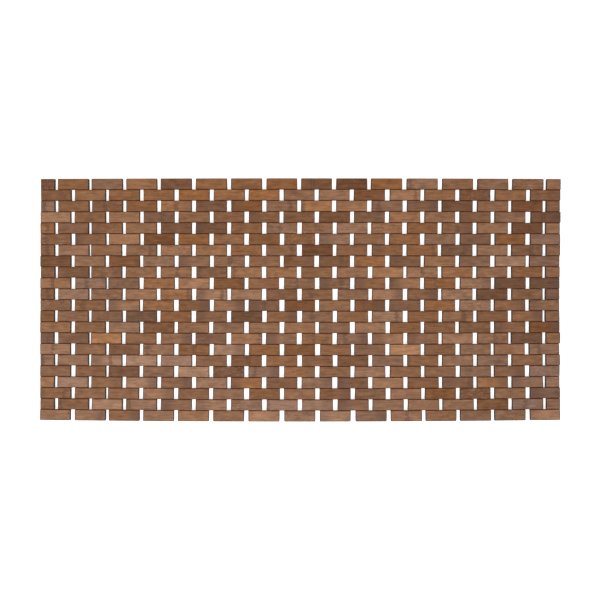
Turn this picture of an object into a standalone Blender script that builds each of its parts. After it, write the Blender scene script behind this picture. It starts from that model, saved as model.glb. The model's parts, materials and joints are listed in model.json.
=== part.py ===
"""Roll-up bath mat of bamboo blocks threaded on cords, lying flat. Metres, +Z up, +X along the mat's length."""

import bpy
import bmesh
from mathutils import Matrix, Vector

# Layout of the mat: rows of blocks run along X, cords run along Y through every row.
ROW_COUNT = 22
ROW_PITCH = 0.0182
CORD_COUNT = 30
CORD_SPAN = 0.832  # from the first cord to the last
CORD_CLOSING = 0.014  # share by which the cords stand closer together towards both ends
RESTING_COLUMN = 10  # stays flat on the floor while the columns on both sides of it roll up

# One block. A half block ends every second row, so that both ends of the mat are straight.
BLOCK_LENGTH = 0.0508
HALF_BLOCK_LENGTH = 0.0230
BLOCK_WIDTH = 0.0179
BLOCK_THICKNESS = 0.0080

# The cord is square here, and it turns in a square bore that clears its corners.
CORD_SIDE = 0.0020
BORE_SIDE = 0.0032
KNOT_SIDE = 0.0040
KNOT_LENGTH = 0.0030
RECESS_SIDE = 0.0062  # pocket in the outer blocks that hides the knot
RECESS_DEPTH = 0.0050
GAP = 0.0003  # between a knot and the floor of its pocket

CORD_HEIGHT = BLOCK_THICKNESS / 2
CORD_HALF_SPAN = CORD_SPAN / 2
SIDE_Y = (ROW_COUNT * ROW_PITCH - (ROW_PITCH - BLOCK_WIDTH)) / 2  # outer long side of the mat
POCKET_FLOOR_Y = SIDE_Y - RECESS_DEPTH
KNOT_FROM_Y = POCKET_FLOOR_Y + GAP
KNOT_TO_Y = KNOT_FROM_Y + KNOT_LENGTH
CUT_PAST = 0.001  # how far a cutter runs past the face that it opens

BAMBOO = {
    "name": "carbonised_bamboo",
    "color": (0.250, 0.127, 0.072, 1.0),
    "roughness": 0.62,
}
CORD = {
    "name": "braided_cord",
    "color": (0.060, 0.035, 0.022, 1.0),
    "roughness": 0.85,
}


def clear_scene():
    """Removes every object that is already in the file's scene."""
    for item in list(bpy.context.scene.objects):
        bpy.data.objects.remove(item, do_unlink=True)


def principled(look):
    """The plain Principled material of one substance, made once."""
    found = bpy.data.materials.get(look["name"])
    if found:
        return found
    material = bpy.data.materials.new(look["name"])
    material.use_nodes = True
    material.diffuse_color = look["color"]
    shader = material.node_tree.nodes["Principled BSDF"]
    shader.inputs["Base Color"].default_value = look["color"]
    shader.inputs["Roughness"].default_value = look["roughness"]
    shader.inputs["Metallic"].default_value = 0.0
    return material


def cord_x(number):
    """Where a cord stands along the mat. Cords are numbered from 1 at the low X end."""
    middle = (CORD_COUNT + 1) / 2
    u = (number - middle) / (CORD_COUNT - middle)
    return CORD_HALF_SPAN * ((1 + CORD_CLOSING) * u - CORD_CLOSING * u**3)


def row_y(row):
    """The middle of a row. Rows are numbered from 1 at the high Y side."""
    return ((ROW_COUNT + 1) / 2 - row) * ROW_PITCH


def object_from(bm, name, look, location):
    """A scene object made from a bmesh, with its origin at location."""
    mesh = bpy.data.meshes.new(name)
    bmesh.ops.recalc_face_normals(bm, faces=bm.faces)
    bm.to_mesh(mesh)
    bm.free()
    mesh.materials.append(principled(look))
    item = bpy.data.objects.new(name, mesh)
    item.location = location
    bpy.context.scene.collection.objects.link(item)
    return item


def add_block(bm, x_from, x_to, y):
    """One block, as a closed box around the cord height."""
    made = bmesh.ops.create_cube(bm, size=1.0)["verts"]
    size = Vector((x_to - x_from, BLOCK_WIDTH, BLOCK_THICKNESS))
    bmesh.ops.scale(bm, vec=size, verts=made)
    bmesh.ops.translate(bm, vec=Vector(((x_from + x_to) / 2, y, 0.0)), verts=made)


def add_square_bar(bm, x, stations):
    """A square bar along Y. Each station is a Y and the bar's half side there."""
    rings = []
    for y, half in stations:
        corners = [(-half, -half), (half, -half), (half, half), (-half, half)]
        rings.append([bm.verts.new((x + dx, y, dz)) for dx, dz in corners])
    for low, high in zip(rings, rings[1:]):
        for i in range(4):
            j = (i + 1) % 4
            bm.faces.new((low[i], low[j], high[j], high[i]))
    bm.faces.new(rings[0])
    bm.faces.new(reversed(rings[-1]))


def cord_stations():
    """The cord with a knot at each end."""
    thin = CORD_SIDE / 2
    knot = KNOT_SIDE / 2
    half = [(KNOT_FROM_Y, thin), (KNOT_FROM_Y, knot), (KNOT_TO_Y, knot)]
    return [(-y, side) for y, side in reversed(half)] + half


def bore_stations():
    """The bore through every row, which widens to a pocket at both sides of the mat."""
    thin = BORE_SIDE / 2
    wide = RECESS_SIDE / 2
    half = [(POCKET_FLOOR_Y, thin), (POCKET_FLOOR_Y, wide), (SIDE_Y + CUT_PAST, wide)]
    return [(-y, side) for y, side in reversed(half)] + half


def pocket_stations(side):
    """Only the pocket, at the high Y side (+1) or the low Y side (-1)."""
    wide = RECESS_SIDE / 2
    return [(side * POCKET_FLOOR_Y, wide), (side * (SIDE_Y + CUT_PAST), wide)]


def combine(target, stations, x, operation):
    """Cuts a square bar out of an object, or joins it on, and keeps the result as the object's mesh."""
    bm = bmesh.new()
    add_square_bar(bm, x, stations)
    bar = object_from(bm, target.name + "_bar", CORD, target.location)
    modifier = target.modifiers.new("bar", "BOOLEAN")
    modifier.operation = operation
    modifier.solver = "EXACT"
    modifier.object = bar
    graph = bpy.context.evaluated_depsgraph_get()
    result = bpy.data.meshes.new_from_object(target.evaluated_get(graph))
    target.modifiers.clear()
    before = target.data
    target.data = result
    bpy.data.meshes.remove(before)
    bpy.data.objects.remove(bar, do_unlink=True)


def make_column(number):
    """Eleven full blocks of every second row, captive on their own cord and bored for the next one."""
    x = cord_x(number)
    pitch = cord_x(number + 1) - x
    overhang = (BLOCK_LENGTH - pitch) / 2
    first_row = 2 if number % 2 else 1
    outer_side = -1 if number % 2 else 1
    bm = bmesh.new()
    for row in range(first_row, ROW_COUNT + 1, 2):
        add_block(bm, -overhang, pitch + overhang, row_y(row))
    column = object_from(bm, f"block_column_{number:02d}", BAMBOO, (x, 0.0, CORD_HEIGHT))
    combine(column, bore_stations(), pitch, "DIFFERENCE")
    combine(column, pocket_stations(outer_side), 0.0, "DIFFERENCE")
    combine(column, cord_stations(), 0.0, "UNION")
    return column


def make_half_block(side_name, row, x, x_from, x_to):
    """One half block at an end of the mat, bored for the end cord."""
    bm = bmesh.new()
    add_block(bm, x_from, x_to, row_y(row))
    name = f"{side_name}_half_block_row_{row:02d}"
    block = object_from(bm, name, BAMBOO, (x, 0.0, CORD_HEIGHT))
    combine(block, bore_stations(), 0.0, "DIFFERENCE")
    return block


def make_left_end():
    """The eleven half blocks on the first cord, flush with the full blocks of the other rows."""
    x = cord_x(1)
    outer = -(BLOCK_LENGTH - (cord_x(2) - x)) / 2
    rows = range(1, ROW_COUNT, 2)
    return [make_half_block("left", row, x, outer, outer + HALF_BLOCK_LENGTH) for row in rows]


def make_right_end():
    """The eleven half blocks on the last cord."""
    x = cord_x(CORD_COUNT)
    outer = (BLOCK_LENGTH - (x - cord_x(CORD_COUNT - 1))) / 2
    rows = range(1, ROW_COUNT, 2)
    return [make_half_block("right", row, x, outer - HALF_BLOCK_LENGTH, outer) for row in rows]


def make_last_cord():
    """The cord at the high X end, which turns with the half blocks there."""
    bm = bmesh.new()
    add_square_bar(bm, 0.0, cord_stations())
    location = (cord_x(CORD_COUNT), 0.0, CORD_HEIGHT)
    return object_from(bm, f"cord_{CORD_COUNT}", CORD, location)


def set_origin(item, x):
    """Puts an object's origin on the cord at x, which is its joint's axis, and leaves its shape in place."""
    shift = x - item.location.x
    item.data.transform(Matrix.Translation((-shift, 0.0, 0.0)))
    item.location.x = x


def world_place(item):
    """Where an object's origin stands in the world, down its chain of parents."""
    place = item.location.copy()
    while item.parent:
        item = item.parent
        place += item.location
    return place


def carry(item, parent):
    """Makes an object ride on another and keeps it where it is."""
    item.location -= world_place(parent)
    item.parent = parent


def make_mat():
    """Every piece, in two chains that start at the resting column: each column rides on its inner neighbour."""
    columns = {number: make_column(number) for number in range(1, CORD_COUNT)}
    for number in range(RESTING_COLUMN + 1, CORD_COUNT):
        carry(columns[number], columns[number - 1])
    for number in range(RESTING_COLUMN - 1, 0, -1):
        set_origin(columns[number], cord_x(number + 1))
        carry(columns[number], columns[number + 1])
    for item in make_left_end():
        carry(item, columns[1])
    for item in [make_last_cord()] + make_right_end():
        carry(item, columns[CORD_COUNT - 1])


clear_scene()
make_mat()
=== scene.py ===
"""The looks of the roll-up bath mat: 341 bamboo blocks in brick bond on 30 cords, flat on a pale floor."""

import json
import math

import bmesh
import bpy
import numpy as np
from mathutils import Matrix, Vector


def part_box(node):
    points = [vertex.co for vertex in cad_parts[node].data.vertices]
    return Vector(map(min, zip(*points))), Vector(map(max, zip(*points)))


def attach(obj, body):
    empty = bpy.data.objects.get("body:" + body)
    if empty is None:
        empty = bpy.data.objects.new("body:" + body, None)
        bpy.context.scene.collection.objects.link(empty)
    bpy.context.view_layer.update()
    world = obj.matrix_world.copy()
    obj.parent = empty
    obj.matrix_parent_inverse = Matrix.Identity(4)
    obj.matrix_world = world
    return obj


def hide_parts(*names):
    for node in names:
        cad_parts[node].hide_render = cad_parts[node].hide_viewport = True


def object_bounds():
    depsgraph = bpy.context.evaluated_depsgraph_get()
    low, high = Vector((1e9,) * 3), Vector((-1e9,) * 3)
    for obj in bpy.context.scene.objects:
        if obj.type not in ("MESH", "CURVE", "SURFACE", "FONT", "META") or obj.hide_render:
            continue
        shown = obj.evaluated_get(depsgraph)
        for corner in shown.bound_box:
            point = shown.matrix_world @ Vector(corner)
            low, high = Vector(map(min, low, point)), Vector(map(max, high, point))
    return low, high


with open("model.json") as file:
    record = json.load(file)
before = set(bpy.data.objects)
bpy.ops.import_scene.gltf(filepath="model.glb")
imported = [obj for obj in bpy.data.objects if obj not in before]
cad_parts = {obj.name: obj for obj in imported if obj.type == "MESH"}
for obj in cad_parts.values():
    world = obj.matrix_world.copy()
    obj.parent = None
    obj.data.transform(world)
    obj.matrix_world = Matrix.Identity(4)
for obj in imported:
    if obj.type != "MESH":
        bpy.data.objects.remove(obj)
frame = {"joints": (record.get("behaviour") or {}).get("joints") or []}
CAD_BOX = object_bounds()

# ---- Sizes and places, read from the frame ----
JOINTS = sorted(frame["joints"], key=lambda joint: joint["name"])
CORD_X = [joint["pos_m"][0] for joint in JOINTS]
CORD_COUNT = len(CORD_X)
CORD_LOW, CORD_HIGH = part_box(f"cord_{CORD_COUNT}")
ROW_COUNT = 22
FIRST_LOW, FIRST_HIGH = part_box("left_half_block_row_01")
_, LATER_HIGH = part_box("left_half_block_row_21")
ROWS_APART = 20  # from the one to the other
MAT_LOW, MAT_HIGH = CAD_BOX
BLOCK_WIDTH = FIRST_HIGH.y - FIRST_LOW.y
BLOCK_THICKNESS = FIRST_HIGH.z - FIRST_LOW.z
MIDDLE_Z = (FIRST_HIGH.z + FIRST_LOW.z) / 2
ROW_PITCH = (FIRST_HIGH.y - LATER_HIGH.y) / ROWS_APART
FIRST_ROW_Y = (FIRST_HIGH.y + FIRST_LOW.y) / 2
HALF_LENGTH = (MAT_HIGH.x - MAT_LOW.x) / 2

# ---- Shape of a block ----
EDGE_RADIUS = 0.0010
EDGE_STEPS = 3
END_INSET = 0.98  # share of the edge radius by which a block's last ring is drawn in
FACE_STEPS = 3  # strips across the top and the underside
STATION_SPACING = 0.0042  # rings along a block
BORE_RADIUS = 0.0015
BORE_MARGIN = 0.0004  # beyond a pocket, where a block keeps its shape
POCKET_RADIUS = 0.0029
POCKET_DEPTH = 0.0050
ROUND_SIDES = 20
CUT_PAST = 0.001
SMOOTH_ANGLE = math.radians(40)
FACE_WEIGHT = 100  # the strongest preference for wide faces in the normals beside them

# ---- How the rows of a real mat differ from straight ones ----
SPREAD_TOP = 0.0010  # how far the row at the high Y side bows outwards
SPREAD_BOTTOM = 0.0026  # the same at the low Y side
SPREAD_LEVEL = 0.12  # share of it by which the middle of the mat is wider than the ideal
SLOPE_STEP = 0.001  # over which a row's slope is measured
SEAM = 0.000016  # between the sides of neighbouring rows, at least
BOW_ROOM = 0.007  # share of a row's bow that straight blocks need besides, to follow it
FOLD_ROOM = 0.003  # what a turned block needs besides, for each radian of its turn, to fold
FOLD_ROOM_MORE = 0.007  # more of it at the high X end, where the folds are sharper

# ---- How far the blocks have crept towards high X ----
# A hump is its middle and its reach, in half lengths of the mat. A level is taken off, so that the mat as
# a whole stays in place.
CREEP_ENDS = 0.0014  # the blocks at both ends
CREEP_ENDS_LEVEL = 0.25
CREEP_LEAN = 0.0018  # how far the low Y side is ahead of the middle rows, and the high Y side behind
CREEP_LEAN_HUMP = (0.38, 0.42)
CREEP_LEAN_LEVEL = 0.3
CREEP_BOW = 0.0016  # how far the middle rows stay behind the outer rows at the high X end
CREEP_BOW_LEVEL = 0.4
CREEP_SECOND = 0.0014  # how far the second blocks stand off the first ones at the low X end
CREEP_SECOND_HUMP = (-0.842, 0.052)
CREEP_LAST = 0.0006  # how far the blocks before the last ones have closed up to them
CREEP_LAST_HUMP = (0.842, 0.11)

# ---- How a real block differs from the ideal one. A spread is a standard deviation ----
SEED = 11
MOST_PLAY = 2.0  # spreads, beyond which a chance difference is cut off
FIRST_CUT = 0.0008  # by which the first full blocks are shorter at their inner end
LAST_CUT = 0.0018  # the same for the last full blocks
LENGTH_PLAY = 0.00021  # spread of each block end
BLOCK_PLAY = 0.00040  # spread of a block along the mat
TURN_PLAY = 0.0001  # spread of a block's turn, in radians
END_GROWTH = 0.00015  # by which a real block is longer at each end
CUT_SLANT = 0.010  # spread of the end cuts from square
WEAR = 0.00016  # depth of the wear along the edges
WEAR_WAVES = 3
WEAR_WAVE = 260  # of the longest wave of the wear, in radians per metre
WEAR_EDGES = (2.1, 1.3)  # put the waves of the four long edges out of step
WEAR_MEAN = 0.4  # shares of the wear's depth: its mean, how far the waves swing it, and its most
WEAR_SWING = 0.45
WEAR_MOST = 1.3
PHASE_DRAWS = 4  # for each wave, of which the first is its phase
JOINT_CHANCE = 0.24  # that one of the cane's joints crosses a block
JOINT_REACH = 0.45  # how far from its middle, in block lengths
NO_JOINT = 1.0  # a place far outside every block
STAIN_CHANCE = 0.22  # that a block is stained at one end
STAIN_RANGE = (0.4, 1.0)  # how dark, from least to most
CHIPPED = 0.6  # the draw above which a block has chipped edges
SCUFFED = 0.93  # the draw above which a block is scuffed as well
GRAIN_REACH = 2.0  # how far away in the grain's pattern a block may be cut

# ---- Cord ----
CORD_RADIUS = 0.0011
CORD_SIDES = 12
CORD_STEPS = 46  # rings along a cord, between its knots
STRANDS = 4.0
STRAND_SPACING = 0.0026  # along the cord, from one strand to the next
KNOT_RADIUS = 0.0022
KNOT_ROOM = 0.0032  # from where a knot starts to the cord's end
KNOT_START = 0.0006  # straight cord before the winding
KNOT_LENGTH = 0.0026  # of the winding and its tail
KNOT_TURNS = 1.6
KNOT_STEPS = 26
KNOT_WOUND = 1 / 1.15  # share of the knot that is wound, before its straight tail

# ---- Brown of the blocks, in display values ----
BAMBOO_MEAN = np.array((134.0, 92.5, 62.5)) / 255
DARK_TO_LIGHT = np.array((0.61, 0.57, 0.55)) * 18.0 / 255  # one spread of a block's tone
PURPLE_TO_ORANGE = np.array((0.65, 0.02, -0.76)) * 5.3 / 255  # one spread of its warmth
DARKEST = 0.02  # that no channel goes below
MOST_TONE = 2.2  # spreads, beyond which a block's own tone and warmth are cut off

# ---- How the brown differs from area to area, in those spreads ----
PAINTED_LIGHT_CORNER = 1.4  # painted light: how much lighter the corner at low X and low Y is, as a pool of light
LIGHT_STRIP = 0.9  # how much lighter one strip across the mat is
LIGHT_STRIP_HUMP = (0.38, 0.12)
DARK_MIDDLE = 0.5  # how much darker the wide area round it is
DARK_MIDDLE_HUMP = (0.30, 0.35)
TONE_LEVEL = 0.05  # taken off everywhere
ORANGE_LEVEL = 0.35  # of the middle rows, where the mat is least purple
ORANGE_TOP = 0.45  # how much more orange the high Y side is than the middle rows
PURPLE_ENDS = 1.1  # how much more purple the mat gets with the square of the distance from PURPLE_FROM
PURPLE_FROM = -0.15

# ---- Patterns in the bamboo: spacings along and across a block, then detail and roughness ----
CLOUDS = ((0.012, 0.007, 0.007), 2.0, 0.5)
STREAKS = ((0.026, 0.0016, 0.0016), 3.0, 0.6)
FIBRES = ((0.012, 0.00042, 0.00042), 2.0, 0.6)
FLECKS = ((0.0048, 0.00030, 0.00030), 1.0, 0.5)
BAND_EDGES = ((0.007, 0.0030, 0.0030), 2.0, 0.5)
RIM_EDGES = ((0.0035, 0.0012, 0.0012), 2.0, 0.5)
CHIPS = ((0.0016, 0.0009, 0.0009), 1.0, 0.5)
SCUFFS = ((0.0042, 0.0020, 0.0020), 2.0, 0.6)
PORES = (0.004, 0.0007, 0.0007)

# ---- The part of a pattern's own range over which it comes up ----
FLECK_RANGE = (0.60, 0.74)
CHIP_RANGE = (0.72, 0.76)
SCUFF_RANGE = (0.54, 0.70)
PORE_RANGE = (0.10, 0.30)  # of the distance from a pore's middle

# ---- How strongly the patterns lighten and darken the brown ----
CLOUD_SHADE = 0.75
STREAK_SHADE = 1.05
FIBRE_SHADE = 0.55
FLECK_SHADE = 0.22
PAINTED_SHEEN = 0.028  # share of the shade's swing that is added as grey: a painted sheen on the lighter fibres

# ---- Where the marks and the painted shade lie. A fade is where a mark starts to go and where it is gone ----
BAND_GROWTH = 0.020  # reach of the dark band at a joint: growth with its pattern, offset and least
BAND_OFFSET = -0.0065
BAND_LEAST = 0.0006
BAND_FADE = (0.2, 1.4)  # in reaches
LINE_FADE = (0.0, 0.0006)
STAIN_CLOUD = 0.020  # how far the clouds move a stain's edge
STAIN_RISE = (0.012, 0.026)  # from a block's middle
RIM_GROWTH = 0.0012  # reach of the dark rim, partly the blocks' darker edges and partly painted shade where the rows meet: growth with its pattern, and least
RIM_LEAST = 0.00085
RIM_FADE = (0.25, 1.1)  # in reaches
SEAM_SHADE_FADE = (0.0, 0.0004)  # painted shade on the side faces between rows: from the side face
SEAM_SHADE_TOP_FADE = (0.0012, 0.0030)  # the same painted shade, from the top or the underside
END_RIM_FADE = (0.0003, 0.0013)  # from the end face
END_FACE_FADE = (0.0003, 0.0007)
CHIP_FADE = (0.0004, 0.0010)  # from the nearest edge

# ---- Surface of the bamboo ----
SHINE = 0.25
ROUGHNESS = 0.42
STREAK_ROUGHNESS = 0.22
END_ROUGHNESS = 0.18
FIBRE_RELIEF = 0.6
STREAK_RELIEF = 0.5
FLECK_RELIEF = -1.4
LINE_RELIEF = -0.4
RELIEF_STRENGTH = 0.5
RELIEF_DEPTH = 0.00022

# ---- Marks and painted shade on a block, from the lowest up: how opaque each is, and its linear colour ----
MARKS_AND_PAINTED_SHADE = {
    "joint_band": (0.55, (0.085, 0.040, 0.024, 1.0)),
    "joint_line": (0.35, (0.34, 0.19, 0.11, 1.0)),
    "stain": (0.60, (0.115, 0.058, 0.040, 1.0)),
    # partly the blocks' darker edges, partly painted shade in the grooves where the rows meet
    "rim": (0.88, (0.085, 0.020, 0.002, 1.0)),
    # painted shade on the side faces where neighbouring rows meet
    "painted_seam_shade": (0.80, (0.030, 0.008, 0.002, 1.0)),
    "end_rim": (0.75, (0.034, 0.022, 0.019, 1.0)),
    "chips": (0.80, (0.52, 0.34, 0.20, 1.0)),
    "scuffs": (0.30, (0.50, 0.32, 0.25, 1.0)),
    "end_face": (0.70, (0.040, 0.024, 0.018, 1.0)),
    "pores": (0.45, (0.020, 0.010, 0.007, 1.0)),
}

# ---- Surface of a cord ----
CORD_DARK = (0.018, 0.011, 0.008, 1.0)
CORD_LIGHT = (0.085, 0.055, 0.038, 1.0)
FUZZ = (0.05, 0.0004, 1.0)  # spacing of the cord's unevenness, round it and along it
FUZZ_SHADE = 0.35
# painted shade: how much darker the grooves between the strands are than their crowns
WEAVE_PAINTED_SHADE = 0.65
CORD_ROUGHNESS = 0.70
FUZZ_ROUGHNESS = 0.2
WEAVE_STRENGTH = 0.8
WEAVE_DEPTH = 0.0002

# ---- Floor, light and camera ----
WHITE = (1.0, 1.0, 1.0, 1.0)
FLOOR_DARK = (0.79, 0.79, 0.79, 1.0)
FLOOR_LIGHT = (0.81, 0.81, 0.81, 1.0)
FLOOR_ROUGHNESS = 0.9
FLOOR_REACH = 14.0  # from the mat's middle
FLOOR_GAP = 0.0001  # between the floor and the mat
FLOOR_CLOUDS = (0.6, 0.6, 0.6)  # spacing of its unevenness
FLOOR_GLOW = 0.75
WORLD_LIGHT = 0.52
NEAR_LAMP = {"place": (-0.35, -1.55, 1.65), "size": 1.3, "power": 33.0}
FAR_LAMP = {"place": (0.9, 2.2, 2.8), "size": 2.2, "power": 22.0}
MAT_MIDDLE = (0.0, 0.0, 0.0)  # where the lamps point
CAMERA_ABOVE = 1.75
CAMERA_LENS = 63.8
CAMERA_SENSOR = 36.0
CAMERA_X = 0.0005
CAMERA_Y = ROW_PITCH / 2  # over the middle of a row, so that no seam shows the floor


# ---- Where the rows and blocks are ----


def hump(along, middle, reach):
    """A smooth hump, 1 high at its middle and nearly gone two reaches away."""
    return math.exp(-(((along - middle) / reach) ** 2))


def row_y(row):
    """The middle of a row. Rows are numbered from 1 at the high Y side."""
    return FIRST_ROW_Y - (row - 1) * ROW_PITCH


def row_share(row):
    """How far down the mat a row is, from 0 at the first row to 1 at the last."""
    return (row - 1) / (ROW_COUNT - 1)


def row_bow(row):
    """How far a row's middle stands out from its ends."""
    share = row_share(row)
    return SPREAD_TOP * (1 - share) - SPREAD_BOTTOM * share


def row_shift(x, row):
    """How far a row stands from its ideal line at x: outwards in the mat's middle, inwards at its ends."""
    return row_bow(row) * (SPREAD_LEVEL - (x / HALF_LENGTH) ** 2)


def row_turn(x, row):
    """The slope of that line at x, in radians."""
    rise = row_shift(x + SLOPE_STEP, row) - row_shift(x - SLOPE_STEP, row)
    return math.atan(rise / (2 * SLOPE_STEP))


def creep(x, row):
    """How far a block at x has crept along the mat from its ideal place."""
    across = 2 * row_share(row) - 1
    along = x / HALF_LENGTH
    ends = CREEP_ENDS * (along**6 - CREEP_ENDS_LEVEL)
    lean = CREEP_LEAN * across * (hump(along, *CREEP_LEAN_HUMP) - CREEP_LEAN_LEVEL)
    bow = CREEP_BOW * (across**2 - CREEP_BOW_LEVEL) * max(along, 0.0) ** 2
    second = CREEP_SECOND * hump(along, *CREEP_SECOND_HUMP)
    last = CREEP_LAST * hump(along, *CREEP_LAST_HUMP)
    return ends + lean + bow + second + last


def seam_width(x, row):
    """How wide a block is, so that it meets its neighbours across the seams and still folds past them."""
    spread = row_shift(x, row - 0.5) - row_shift(x, row + 0.5)
    fold = FOLD_ROOM + FOLD_ROOM_MORE * max(x / HALF_LENGTH, 0.0)
    return ROW_PITCH + spread - SEAM - BOW_ROOM * abs(row_bow(row)) - fold * abs(row_turn(x, row))


# ---- Mesh of a block ----


def ring_points(inset):
    """A rounded rectangle across the block, as (y, z) pairs, drawn in by an inset."""
    radius = EDGE_RADIUS - inset
    half_y = BLOCK_WIDTH / 2 - EDGE_RADIUS
    half_z = BLOCK_THICKNESS / 2 - EDGE_RADIUS
    corners = [(1, 1), (-1, 1), (-1, -1), (1, -1)]
    points = []
    for index, (side_y, side_z) in enumerate(corners):
        for step in range(EDGE_STEPS + 1):
            angle = math.pi / 2 * (index + step / EDGE_STEPS)
            y = side_y * half_y + radius * math.cos(angle)
            points.append((y, side_z * half_z + radius * math.sin(angle)))
        if side_y == side_z:
            for step in range(1, FACE_STEPS):
                y = side_y * half_y * (1 - 2 * step / FACE_STEPS)
                points.append((y, side_z * (half_z + radius)))
    return points


def block_stations(length):
    """Where the rings stand along a block, as (x, inset) pairs: close together round each end."""
    inner = length / 2 - EDGE_RADIUS
    count = max(2, round(2 * inner / STATION_SPACING))
    end = []
    for step in range(1, EDGE_STEPS + 1):
        angle = math.pi / 2 * step / EDGE_STEPS
        inset = EDGE_RADIUS * (1 - math.cos(angle)) * END_INSET
        end.append((inner + EDGE_RADIUS * math.sin(angle), inset))
    body = [(inner * (2 * step / count - 1), 0.0) for step in range(count + 1)]
    return [(-x, inset) for x, inset in reversed(end)] + body + end


def bridge(bm, rings):
    """Faces between rings of vertices, and over both ends."""
    count = len(rings[0])
    for low, high in zip(rings, rings[1:]):
        for index in range(count):
            after = (index + 1) % count
            bm.faces.new((low[index], low[after], high[after], high[index]))
    bm.faces.new(rings[0])
    bm.faces.new(rings[-1])


def plain_block(length):
    """A block with rounded edges, centred on the origin, with no bores."""
    bm = bmesh.new()
    rings = []
    for x, inset in block_stations(length):
        rings.append([bm.verts.new((x, y, z)) for y, z in ring_points(inset)])
    bridge(bm, rings)
    return bm


def round_bar(x, stations):
    """A round bar along Y. Each station is a Y and the bar's radius there."""
    bm = bmesh.new()
    angles = [2 * math.pi * index / ROUND_SIDES for index in range(ROUND_SIDES)]
    rings = []
    for y, radius in stations:
        rings.append([bm.verts.new((x + radius * math.cos(a), y, radius * math.sin(a))) for a in angles])
    bridge(bm, rings)
    return bm


def object_from(bm, name):
    """An object in the scene, made from a bmesh."""
    mesh = bpy.data.meshes.new(name)
    bmesh.ops.recalc_face_normals(bm, faces=bm.faces)
    bm.to_mesh(mesh)
    bm.free()
    item = bpy.data.objects.new(name, mesh)
    bpy.context.scene.collection.objects.link(item)
    return item


def bore_stations(pocket):
    """A bore through a block, with a pocket at its low (-1) or high (1) Y side, or at neither (0)."""
    past = BLOCK_WIDTH / 2 + CUT_PAST
    floor = BLOCK_WIDTH / 2 - POCKET_DEPTH
    if not pocket:
        return [(-past, BORE_RADIUS), (past, BORE_RADIUS)]
    run = [(-past, BORE_RADIUS), (floor, BORE_RADIUS), (floor, POCKET_RADIUS), (past, POCKET_RADIUS)]
    return [(pocket * y, radius) for y, radius in run]


def base_block(length, bores, pocket):
    """The mesh of a block with its bores, shaded so that its flat faces stay flat."""
    block = object_from(plain_block(length), "base_block")
    bars = [object_from(round_bar(x, bore_stations(pocket)), "base_bore") for x in bores]
    for bar in bars:
        cut = block.modifiers.new("bore", "BOOLEAN")
        cut.operation = "DIFFERENCE"
        cut.solver = "EXACT"
        cut.object = bar
    graph = bpy.context.evaluated_depsgraph_get()
    mesh = bpy.data.meshes.new_from_object(block.evaluated_get(graph))
    for item in [block] + bars:
        bpy.data.objects.remove(item, do_unlink=True)
    mesh.shade_smooth()
    mesh.set_sharp_from_angle(angle=SMOOTH_ANGLE)
    return mesh


def edge_wear(co, length, phases):
    """How far each vertex is worn in: only near the edges, deeper and shallower in waves along them."""
    half = np.array((length / 2, BLOCK_WIDTH / 2, BLOCK_THICKNESS / 2))
    depth = np.sort(half - np.abs(co), axis=1)[:, 1]
    edge = np.clip(1 - depth / EDGE_RADIUS, 0, 1)
    side = WEAR_EDGES[0] * np.sign(co[:, 1]) + WEAR_EDGES[1] * np.sign(co[:, 2])
    wave = 0.0
    for order, phase in enumerate(phases, 1):
        wave = wave + np.sin(co[:, 0] * WEAR_WAVE * order + phase + side) / order
    return WEAR * edge * np.clip(WEAR_MEAN + WEAR_SWING * wave, 0, WEAR_MOST)


def cut_slants(co, length, places, slants):
    """How far the slanted end cuts shift each vertex: not between the bores, and fully at the ends."""
    inner_low = places[0] - POCKET_RADIUS - BORE_MARGIN
    inner_high = places[-1] + POCKET_RADIUS + BORE_MARGIN
    towards_high = np.clip((co[:, 0] - inner_high) / (length / 2 - inner_high), 0, 1)
    towards_low = np.clip((inner_low - co[:, 0]) / (length / 2 + inner_low), 0, 1)
    return (slants[1] * towards_high + slants[0] * towards_low) * co[:, 1]


# ---- Blocks ----


def write(mesh, name, kind, field, values):
    """A named value on every vertex."""
    attribute = mesh.attributes.new(name, kind, "POINT")
    attribute.data.foreach_set(field, np.asarray(values, np.float32).ravel())


def finish_normals(item):
    """Keeps wide flat faces flat beside rounded edges."""
    weighted = item.modifiers.new("flat_faces", "WEIGHTED_NORMAL")
    weighted.keep_sharp = True
    weighted.weight = FACE_WEIGHT


def linear(shown):
    """Linear light from display values, by the sRGB curve."""
    return ((shown + 0.055) / 1.055) ** 2.4


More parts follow.
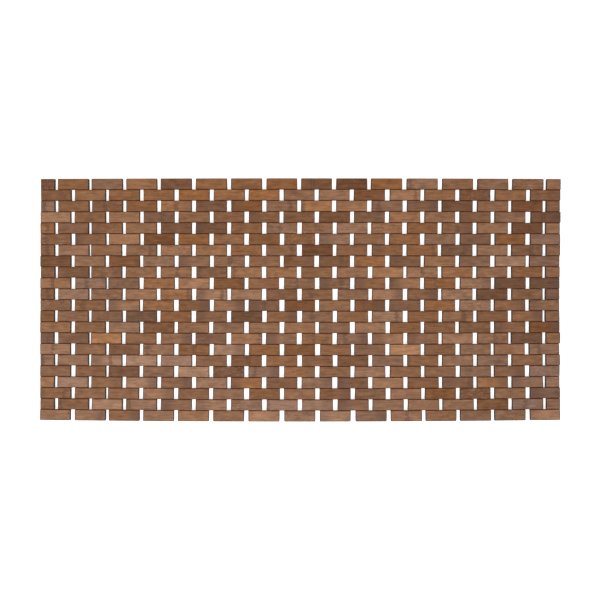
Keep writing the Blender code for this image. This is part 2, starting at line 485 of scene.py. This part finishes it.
class Block:
    """One block: its base shape, its ideal place, and the chance marks that set it apart."""

    bases = {}

    def __init__(self, name, row, column, x_from, x_to, bores, body, node):
        self.name = name
        self.row = row
        self.column = column
        self.x_from = x_from
        self.x_to = x_to
        self.bores = bores
        self.body = body
        self.node = node
        self.middle = (x_from + x_to) / 2
        self.chance = np.random.default_rng([SEED, row, column])
        self.pocket = {1: 1, ROW_COUNT: -1}.get(row, 0)

    def base(self):
        """The shared mesh for this kind of block, its length and where its bores are."""
        length = self.x_to - self.x_from
        kind = (round(length, 3), self.pocket)
        if kind not in self.bases:
            places = [x - self.middle for x in self.bores]
            self.bases[kind] = (base_block(length, places, self.pocket), length, places)
        return self.bases[kind]

    def differences(self, spread, count):
        """Chance differences of one spread."""
        return spread * self.chance.normal(0.0, 1.0, count).clip(-MOST_PLAY, MOST_PLAY)

    def ends(self, crept, end_play):
        """Where this block's two ends are, from its ideal middle."""
        low = self.x_from + crept + end_play[0] - END_GROWTH - self.middle
        high = self.x_to + crept + end_play[1] + END_GROWTH - self.middle
        low += LAST_CUT * (self.column == CORD_COUNT - 1)
        high -= FIRST_CUT * (self.column == 1)
        return low, high

    def stretched(self, x, length, places, low, high):
        """The base mesh's x, stretched to this block's ends, with the bores left on their cords."""
        clear = POCKET_RADIUS + BORE_MARGIN
        was = [-length / 2]
        now = [low]
        for place, bore in zip(places, self.bores):
            was += [place - clear, place + clear]
            now += [bore - self.middle - clear, bore - self.middle + clear]
        was.append(length / 2)
        now.append(high)
        return np.interp(x, was, now)

    def shaped(self, co, length, places):
        """The base mesh's vertices with this block's own length, end cuts, wear and width."""
        end_play = self.differences(LENGTH_PLAY, 2)
        slants = self.differences(CUT_SLANT, 2)
        crept = creep(self.middle, self.row) + self.differences(BLOCK_PLAY, 1)[0]
        phases = self.chance.uniform(0, 2 * math.pi, (WEAR_WAVES, PHASE_DRAWS))[:, 0]
        low, high = self.ends(crept, end_play)
        wear = edge_wear(co, length, phases)
        shaped = co.copy()
        shaped[:, 0] = self.stretched(co[:, 0], length, places, low, high)
        shaped[:, 0] += cut_slants(co, length, places, slants)
        shaped[:, 1] -= np.sign(co[:, 1]) * wear
        shaped[:, 1] *= seam_width(self.middle, self.row) / BLOCK_WIDTH
        shaped[:, 2] -= np.sign(co[:, 2]) * wear
        return shaped

    def area_tone_and_light(self):
        """How much lighter and more orange the blocks of this area are: painted light at the corner at low
        X and low Y, a lighter strip with a darker area round it, and warmth that changes as canes were
        used up in turn.
        """
        along = self.middle / HALF_LENGTH
        down = row_share(self.row)
        # painted light: a pool of light over the corner at low X and low Y
        corner = PAINTED_LIGHT_CORNER * down**2 * max(-along, 0.0)
        strip = LIGHT_STRIP * hump(along, *LIGHT_STRIP_HUMP)
        middle = DARK_MIDDLE * hump(along, *DARK_MIDDLE_HUMP)
        ends = PURPLE_ENDS * (along - PURPLE_FROM) ** 2
        warmth = ORANGE_LEVEL + ORANGE_TOP * (1 - 2 * down) - ends
        return corner + strip - middle - TONE_LEVEL, warmth

    def colour(self):
        """This block's own brown, as linear light."""
        own = self.chance.normal(0.0, 1.0, 2).clip(-MOST_TONE, MOST_TONE)
        tone, warmth = own + self.area_tone_and_light()
        shown = BAMBOO_MEAN + tone * DARK_TO_LIGHT + warmth * PURPLE_TO_ORANGE
        return linear(shown.clip(DARKEST, 1.0))

    def marks(self, length):
        """Where a cane's joint crosses the block, its stain (the sign says at which end), and its wear."""
        joint_x = NO_JOINT
        stain = 0.0
        if self.chance.random() < JOINT_CHANCE:
            joint_x = self.chance.uniform(-JOINT_REACH, JOINT_REACH) * length
        if self.chance.random() < STAIN_CHANCE:
            stain = self.chance.uniform(*STAIN_RANGE)
        side = self.chance.choice((-1.0, 1.0))
        return joint_x, stain * side, self.chance.random()

    def describe(self, mesh, co, length):
        """Writes what the material needs: places on the ideal block, and this block's own marks."""
        count = len(co)
        shift = self.chance.uniform(-GRAIN_REACH, GRAIN_REACH, 3)
        write(mesh, "block_place", "FLOAT_VECTOR", "vector", co)
        write(mesh, "end_depth", "FLOAT", "value", length / 2 - np.abs(co[:, 0]))
        # 1 on the sides that face a neighbouring row, where painted shade darkens them
        write(mesh, "shaded_seam_side", "FLOAT", "value", np.sign(co[:, 1]) != self.pocket)
        write(mesh, "grain_shift", "FLOAT_VECTOR", "vector", np.tile(shift, (count, 1)))
        write(mesh, "block_marks", "FLOAT_VECTOR", "vector", np.tile(self.marks(length), (count, 1)))
        write(mesh, "block_colour", "FLOAT_COLOR", "color", np.tile([*self.colour(), 1.0], (count, 1)))

    def make(self, material):
        """The finished block, riding on its body."""
        base, length, places = self.base()
        mesh = base.copy()
        mesh.name = self.name
        co = np.zeros(len(mesh.vertices) * 3, np.float32)
        mesh.vertices.foreach_get("co", co)
        co = co.reshape(-1, 3)
        mesh.vertices.foreach_set("co", self.shaped(co, length, places).astype(np.float32).ravel())
        self.describe(mesh, co, length)
        mesh.materials.clear()
        mesh.materials.append(material)
        item = bpy.data.objects.new(self.name, mesh)
        bpy.context.scene.collection.objects.link(item)
        turn = self.differences(TURN_PLAY, 1)[0]
        item.location = (self.middle, row_y(self.row) + row_shift(self.middle, self.row), MIDDLE_Z)
        item.rotation_euler.z = row_turn(self.middle, self.row) + turn
        finish_normals(item)
        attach(item, self.body)
        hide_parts(self.node)
        return item


def column_blocks(column):
    """The eleven full blocks of one column."""
    node = f"block_column_{column:02d}"
    body = f"column_{column:02d}"
    low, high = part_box(node)
    bores = [CORD_X[column - 1], CORD_X[column]]
    first_row = 2 if column % 2 else 1
    blocks = []
    for row in range(first_row, ROW_COUNT + 1, 2):
        name = f"block_row_{row:02d}_{body}"
        blocks.append(Block(name, row, column, low.x, high.x, bores, body, node))
    return blocks


def end_blocks(side, column, bore):
    """The half blocks that close the odd rows at one end."""
    blocks = []
    for row in range(1, ROW_COUNT, 2):
        node = f"{side}_half_block_row_{row:02d}"
        low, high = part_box(node)
        name = f"{side}_end_block_row_{row:02d}"
        blocks.append(Block(name, row, column, low.x, high.x, [bore], f"{side}_end", node))
    return blocks


def every_block():
    """All blocks of the mat."""
    blocks = []
    for column in range(1, CORD_COUNT):
        blocks += column_blocks(column)
    return blocks + end_blocks("left", 0, CORD_X[0]) + end_blocks("right", CORD_COUNT, CORD_X[-1])


# ---- Cords ----


def tube(bm, points, radius, sides):
    """A round tube along a path, with closed ends. Returns how far along the path each ring stands."""
    points = [Vector(point) for point in points]
    angles = [2 * math.pi * side / sides for side in range(sides)]
    rings = []
    run = [0.0]
    normal = Vector((0.0, 0.0, 1.0))
    for index, point in enumerate(points):
        before = points[max(index - 1, 0)]
        after = points[min(index + 1, len(points) - 1)]
        along = (after - before).normalized()
        normal = (normal - along * normal.dot(along)).normalized()
        other = along.cross(normal)
        spokes = [normal * math.cos(angle) + other * math.sin(angle) for angle in angles]
        rings.append([bm.verts.new(point + radius * spoke) for spoke in spokes])
        if index:
            run.append(run[-1] + (point - points[index - 1]).length)
    bridge(bm, rings)
    return run


def knot_path(start_y, side):
    """The cord's end, wound round itself: out from the axis, round it, and back in to a short tail."""
    wound = KNOT_RADIUS - CORD_RADIUS
    points = []
    for step in range(KNOT_STEPS + 1):
        share = step / KNOT_STEPS
        swell = 0.0
        if share < KNOT_WOUND:
            swell = math.sin(math.pi * share / KNOT_WOUND) ** 0.5
        angle = 2 * math.pi * KNOT_TURNS * share
        y = start_y + side * (KNOT_START + KNOT_LENGTH * share)
        points.append((wound * swell * math.cos(angle), y, wound * swell * math.sin(angle)))
    return points


def cord_path(x):
    """The cord at x with its two knots, which lie where the outer rows stand there."""
    low = CORD_LOW.y + row_shift(x, ROW_COUNT) + KNOT_ROOM
    high = CORD_HIGH.y + row_shift(x, 1) - KNOT_ROOM
    straight = [(0.0, low + (high - low) * step / CORD_STEPS, 0.0) for step in range(1, CORD_STEPS)]
    return list(reversed(knot_path(low, -1))) + straight + knot_path(high, 1)


def make_cord(number, material):
    """One cord with a knot at each end, in its bores."""
    x = CORD_X[number - 1]
    bm = bmesh.new()
    points = cord_path(x)
    run = tube(bm, points, CORD_RADIUS, CORD_SIDES)
    count = len(points)
    item = object_from(bm, f"threaded_cord_{number:02d}")
    place = np.zeros((count * CORD_SIDES, 3), np.float32)
    place[:, 0] = np.tile(np.arange(CORD_SIDES) / CORD_SIDES, count)
    place[:, 1] = np.repeat(run, CORD_SIDES)
    write(item.data, "braid_place", "FLOAT_VECTOR", "vector", place)
    item.data.shade_smooth()
    item.data.materials.append(material)
    item.location = (x, 0.0, MIDDLE_Z)
    last = number == CORD_COUNT
    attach(item, "right_end" if last else f"column_{number:02d}")
    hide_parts(f"cord_{number}" if last else f"block_column_{number:02d}")
    return item


# ---- Materials ----


class Shader:
    """One material's node tree, with short ways to add and join its nodes."""

    def __init__(self, name):
        self.material = bpy.data.materials.new(name)
        self.material.use_nodes = True
        self.tree = self.material.node_tree
        self.surface = self.tree.nodes["Principled BSDF"]

    def join(self, socket, value):
        """Sets a socket to a value, or links another node's output to it."""
        if isinstance(value, bpy.types.NodeSocket):
            self.tree.links.new(value, socket)
        else:
            socket.default_value = value

    def add(self, kind, inputs=(), output=0, **settings):
        """A node whose inputs are values or other nodes' outputs. Returns one of its outputs."""
        node = self.tree.nodes.new(kind)
        for key, value in settings.items():
            setattr(node, key, value)
        for key, value in dict(inputs).items():
            self.join(node.inputs[key], value)
        return node.outputs[output]

    def set(self, name, value):
        """Sets one of the surface's own sockets."""
        self.join(self.surface.inputs[name], value)

    def attribute(self, name, output="Vector"):
        """A value written on the mesh."""
        return self.add("ShaderNodeAttribute", output=output, attribute_name=name)

    def math(self, operation, first, second=0.0, third=0.0):
        """One step of arithmetic."""
        return self.add("ShaderNodeMath", {0: first, 1: second, 2: third}, operation=operation)

    def times(self, first, second):
        """A product."""
        return self.math("MULTIPLY", first, second)

    def swing(self, noise, amount):
        """Noise turned into a swing to both sides of zero."""
        return self.times(self.math("SUBTRACT", noise, 0.5), amount)

    def vector(self, operation, first, second):
        """One step of arithmetic on vectors."""
        return self.add("ShaderNodeVectorMath", {0: first, 1: second}, operation=operation)

    def grey(self, value):
        """The same value on all three channels."""
        return self.add("ShaderNodeCombineXYZ", {0: value, 1: value, 2: value})

    def split(self, vector):
        """A vector's three values."""
        node = self.add("ShaderNodeSeparateXYZ", {0: vector}).node
        return node.outputs[0], node.outputs[1], node.outputs[2]

    def noise(self, place, spacing, detail=2.0, roughness=0.5):
        """Noise whose features are about one spacing apart along each axis, in metres."""
        scaled = self.vector("DIVIDE", place, spacing)
        inputs = {"Vector": scaled, "Scale": 1.0, "Detail": detail, "Roughness": roughness}
        return self.add("ShaderNodeTexNoise", inputs)

    def ramp(self, value, low, high, to_low=0.0, to_high=1.0):
        """Turns the run from low to high into a smooth run from to_low to to_high."""
        inputs = {"Value": value, "From Min": low, "From Max": high, "To Min": to_low, "To Max": to_high}
        return self.add("ShaderNodeMapRange", inputs, interpolation_type="SMOOTHSTEP")

    def paint(self, share, under, over):
        """A colour painted over another. A mix node's colours are its inputs 6 and 7 and its output 2."""
        inputs = {0: share, 6: under, 7: over}
        return self.add("ShaderNodeMix", inputs, output=2, data_type="RGBA")

    def bump(self, height, strength, distance):
        """Relief on the surface."""
        inputs = {"Height": height, "Strength": strength, "Distance": distance}
        self.set("Normal", self.add("ShaderNodeBump", inputs, output="Normal"))


class Bamboo(Shader):
    """Carbonised bamboo: fibres along each block, bands at the cane's joints, end grain and worn edges,
    with painted shade between the rows and a painted sheen on the lighter fibres.
    """

    def __init__(self):
        super().__init__("carbonised_bamboo")
        place = self.attribute("block_place")
        self.x, self.y, self.z = self.split(place)
        self.joint_x, self.stain, self.splinters = self.split(self.attribute("block_marks"))
        self.grain = self.vector("ADD", place, self.attribute("grain_shift"))
        self.cloud = self.noise(self.grain, *CLOUDS)
        self.streak = self.noise(self.grain, *STREAKS)
        self.fibre = self.noise(self.grain, *FIBRES)
        self.dashes = self.ramp(self.noise(self.grain, *FLECKS), *FLECK_RANGE, 0.0, FLECK_SHADE)
        self.marks = {**self.joint_marks(), **self.stain_marks(), **self.edge_marks_and_shade()}
        self.set("Base Color", self.colour())
        self.set("Roughness", self.roughness())
        self.set("Specular IOR Level", SHINE)
        self.bump(self.height(), RELIEF_STRENGTH, RELIEF_DEPTH)

    def fade(self, value, low, high):
        """A mark that is whole below low and gone above high."""
        return self.ramp(value, low, high, 1.0, 0.0)

    def joint_marks(self):
        """Where one of the cane's joints crosses: a dark band of changing width with a pale line in it."""
        away = self.math("ABSOLUTE", self.math("SUBTRACT", self.x, self.joint_x))
        edges = self.noise(self.grain, *BAND_EDGES)
        reach = self.math("MULTIPLY_ADD", edges, BAND_GROWTH, BAND_OFFSET)
        reach = self.math("MAXIMUM", reach, BAND_LEAST)
        band = self.fade(self.math("DIVIDE", away, reach), *BAND_FADE)
        return {"joint_band": band, "joint_line": self.fade(away, *LINE_FADE)}

    def stain_marks(self):
        """A cloudy stain over one end of some blocks. The sign of the stain says which end."""
        towards_end = self.times(self.x, self.math("SIGN", self.stain))
        moved = self.math("MULTIPLY_ADD", self.cloud, STAIN_CLOUD, towards_end)
        stained = self.ramp(moved, *STAIN_RISE)
        return {"stain": self.times(stained, self.math("ABSOLUTE", self.stain))}

    def edge_marks_and_shade(self):
        """Dark rims, partly painted shade in the grooves where the rows meet; side faces darkened by
        painted shade where they face a neighbouring row; end grain, and chips and scuffs.
        """
        depth_x = self.attribute("end_depth", "Fac")
        depth_y = self.math("SUBTRACT", BLOCK_WIDTH / 2, self.math("ABSOLUTE", self.y))
        depth_z = self.math("SUBTRACT", BLOCK_THICKNESS / 2, self.math("ABSOLUTE", self.z))
        further = self.math("MAXIMUM", depth_y, depth_z)
        nearer = self.math("MINIMUM", depth_y, depth_z)
        depth = self.math("MAXIMUM", nearer, self.math("MINIMUM", further, depth_x))
        rim_edges = self.noise(self.grain, *RIM_EDGES)
        rim_reach = self.math("MULTIPLY_ADD", rim_edges, RIM_GROWTH, RIM_LEAST)
        painted_seam_shade = self.times(self.fade(depth_y, *SEAM_SHADE_FADE), self.fade(depth_z, *SEAM_SHADE_TOP_FADE))
        chips = self.ramp(self.noise(self.grain, *CHIPS), *CHIP_RANGE)
        chips = self.times(chips, self.fade(depth, *CHIP_FADE))
        scuffs = self.ramp(self.noise(self.grain, *SCUFFS), *SCUFF_RANGE)
        pore_place = self.vector("DIVIDE", self.grain, PORES)
        pores = self.add("ShaderNodeTexVoronoi", {"Vector": pore_place, "Scale": 1.0})
        end_face = self.fade(depth_x, *END_FACE_FADE)
        return {
            # partly darker edges, partly painted shade in the grooves between rows
            "rim": self.fade(self.math("DIVIDE", depth, rim_reach), *RIM_FADE),
            "painted_seam_shade": self.times(painted_seam_shade, self.attribute("shaded_seam_side", "Fac")),
            "end_rim": self.fade(depth_x, *END_RIM_FADE),
            "chips": self.times(chips, self.math("GREATER_THAN", self.splinters, CHIPPED)),
            "scuffs": self.times(scuffs, self.math("GREATER_THAN", self.splinters, SCUFFED)),
            "end_face": end_face,
            "pores": self.times(self.fade(pores, *PORE_RANGE), end_face),
        }

    def colour(self):
        """The block's own brown, lighter and darker with the grain and with a grey painted sheen on the
        lighter fibres, under all its marks and painted shade.
        """
        shade = self.math("ADD", self.swing(self.cloud, CLOUD_SHADE), 1.0)
        shade = self.math("ADD", shade, self.swing(self.streak, STREAK_SHADE))
        shade = self.math("ADD", shade, self.swing(self.fibre, FIBRE_SHADE))
        shade = self.math("SUBTRACT", shade, self.dashes)
        # painted sheen: grey light added along the lighter fibres
        painted_sheen = self.times(self.math("SUBTRACT", shade, 1.0), PAINTED_SHEEN)
        colour = self.vector("MULTIPLY", self.attribute("block_colour", "Color"), self.grey(shade))
        colour = self.vector("ADD", colour, self.grey(painted_sheen))
        for name, (opacity, paint) in MARKS_AND_PAINTED_SHADE.items():
            colour = self.paint(self.times(self.marks[name], opacity), colour, paint)
        return colour

    def roughness(self):
        """Duller in the light streaks, and on the end grain."""
        roughness = self.math("MULTIPLY_ADD", self.streak, STREAK_ROUGHNESS, ROUGHNESS)
        return self.math("MULTIPLY_ADD", self.marks["end_face"], END_ROUGHNESS, roughness)

    def height(self):
        """Relief of the fibres, with grooves at the flecks and along the cane's joints."""
        height = self.times(self.streak, STREAK_RELIEF)
        height = self.math("MULTIPLY_ADD", self.fibre, FIBRE_RELIEF, height)
        height = self.math("MULTIPLY_ADD", self.dashes, FLECK_RELIEF, height)
        return self.math("MULTIPLY_ADD", self.marks["joint_line"], LINE_RELIEF, height)


def cord_material():
    """Round braided cord: strands that cross at two slants, with painted shade in the grooves between
    them.
    """
    s = Shader("braided_cord")
    place = s.attribute("braid_place")
    around, along, _ = s.split(place)
    turns = s.times(around, STRANDS)
    lay = s.times(along, 1 / STRAND_SPACING)
    heights = []
    for slant in (1.0, -1.0):
        phase = s.times(s.math("MULTIPLY_ADD", turns, slant, lay), 2 * math.pi)
        heights.append(s.math("MULTIPLY_ADD", s.math("SINE", phase), 0.5, 0.5))
    weave = s.math("MAXIMUM", heights[0], heights[1])
    fuzz = s.noise(place, FUZZ)
    # painted shade darkens the grooves between the strands; the fuzz is the cord's own unevenness
    share = s.math("MULTIPLY_ADD", fuzz, FUZZ_SHADE, s.times(weave, WEAVE_PAINTED_SHADE))
    s.set("Base Color", s.paint(share, CORD_DARK, CORD_LIGHT))
    s.set("Roughness", s.math("MULTIPLY_ADD", fuzz, FUZZ_ROUGHNESS, CORD_ROUGHNESS))
    s.bump(weave, WEAVE_STRENGTH, WEAVE_DEPTH)
    return s.material


def floor_material():
    """A studio floor lit to white, faintly uneven, and clear from below, so that the underside shows."""
    s = Shader("studio_floor")
    place = s.add("ShaderNodeTexCoord", output="Object")
    s.set("Base Color", s.paint(s.noise(place, FLOOR_CLOUDS), FLOOR_DARK, FLOOR_LIGHT))
    s.set("Roughness", FLOOR_ROUGHNESS)
    s.set("Emission Color", WHITE)
    s.set("Emission Strength", FLOOR_GLOW)
    from_below = s.add("ShaderNodeNewGeometry", output="Backfacing")
    clear = s.add("ShaderNodeBsdfTransparent")
    shown = s.add("ShaderNodeMixShader", {0: from_below, 1: s.surface.outputs[0], 2: clear})
    s.tree.links.new(shown, s.tree.nodes["Material Output"].inputs["Surface"])
    return s.material


# ---- Floor, light and camera ----


def make_floor():
    """A wide floor just under the mat."""
    bm = bmesh.new()
    square = [(-1, -1), (1, -1), (1, 1), (-1, 1)]
    z = MAT_LOW.z - FLOOR_GAP
    bm.faces.new([bm.verts.new((x * FLOOR_REACH, y * FLOOR_REACH, z)) for x, y in square])
    floor = object_from(bm, "studio_floor")
    floor.data.materials.append(floor_material())


def make_lamp(name, place, size, power):
    """A soft square lamp aimed at the middle of the mat."""
    data = bpy.data.lights.new(name, "AREA")
    data.shape = "SQUARE"
    data.size = size
    data.energy = power
    lamp = bpy.data.objects.new(name, data)
    lamp.location = place
    lamp.rotation_euler = (Vector(MAT_MIDDLE) - Vector(place)).to_track_quat("-Z", "Y").to_euler()
    bpy.context.scene.collection.objects.link(lamp)


def make_surroundings():
    """Even light from all round, seen by the camera as plain white."""
    world = bpy.data.worlds.new("studio")
    world.use_nodes = True
    nodes = world.node_tree.nodes
    lighting = nodes["Background"]
    lighting.inputs["Color"].default_value = WHITE
    lighting.inputs["Strength"].default_value = WORLD_LIGHT
    seen = nodes.new("ShaderNodeBackground")
    seen.inputs["Color"].default_value = WHITE
    rays = nodes.new("ShaderNodeLightPath")
    choice = nodes.new("ShaderNodeMixShader")
    links = world.node_tree.links
    links.new(rays.outputs["Is Camera Ray"], choice.inputs[0])
    links.new(lighting.outputs[0], choice.inputs[1])
    links.new(seen.outputs[0], choice.inputs[2])
    links.new(choice.outputs[0], nodes["World Output"].inputs["Surface"])
    bpy.context.scene.world = world


def make_camera():
    """A camera nearly straight above the mat."""
    data = bpy.data.cameras.new("camera")
    data.lens = CAMERA_LENS
    data.sensor_width = CAMERA_SENSOR
    camera = bpy.data.objects.new("camera", data)
    camera.location = (CAMERA_X, CAMERA_Y, MAT_HIGH.z + CAMERA_ABOVE)
    camera.rotation_euler.x = -math.atan(CAMERA_Y / CAMERA_ABOVE)
    bpy.context.scene.collection.objects.link(camera)
    bpy.context.scene.camera = camera


def corners(box):
    """A box's two corners as plain lists of numbers."""
    return [[float(value) for value in corner] for corner in box]


bamboo = Bamboo().material
for block in every_block():
    block.make(bamboo)
cord = cord_material()
for number in range(1, CORD_COUNT + 1):
    make_cord(number, cord)
make_floor()
make_surroundings()
make_lamp("near_lamp", **NEAR_LAMP)
make_lamp("far_lamp", **FAR_LAMP)
make_camera()
bpy.context.scene.view_settings.view_transform = "Standard"
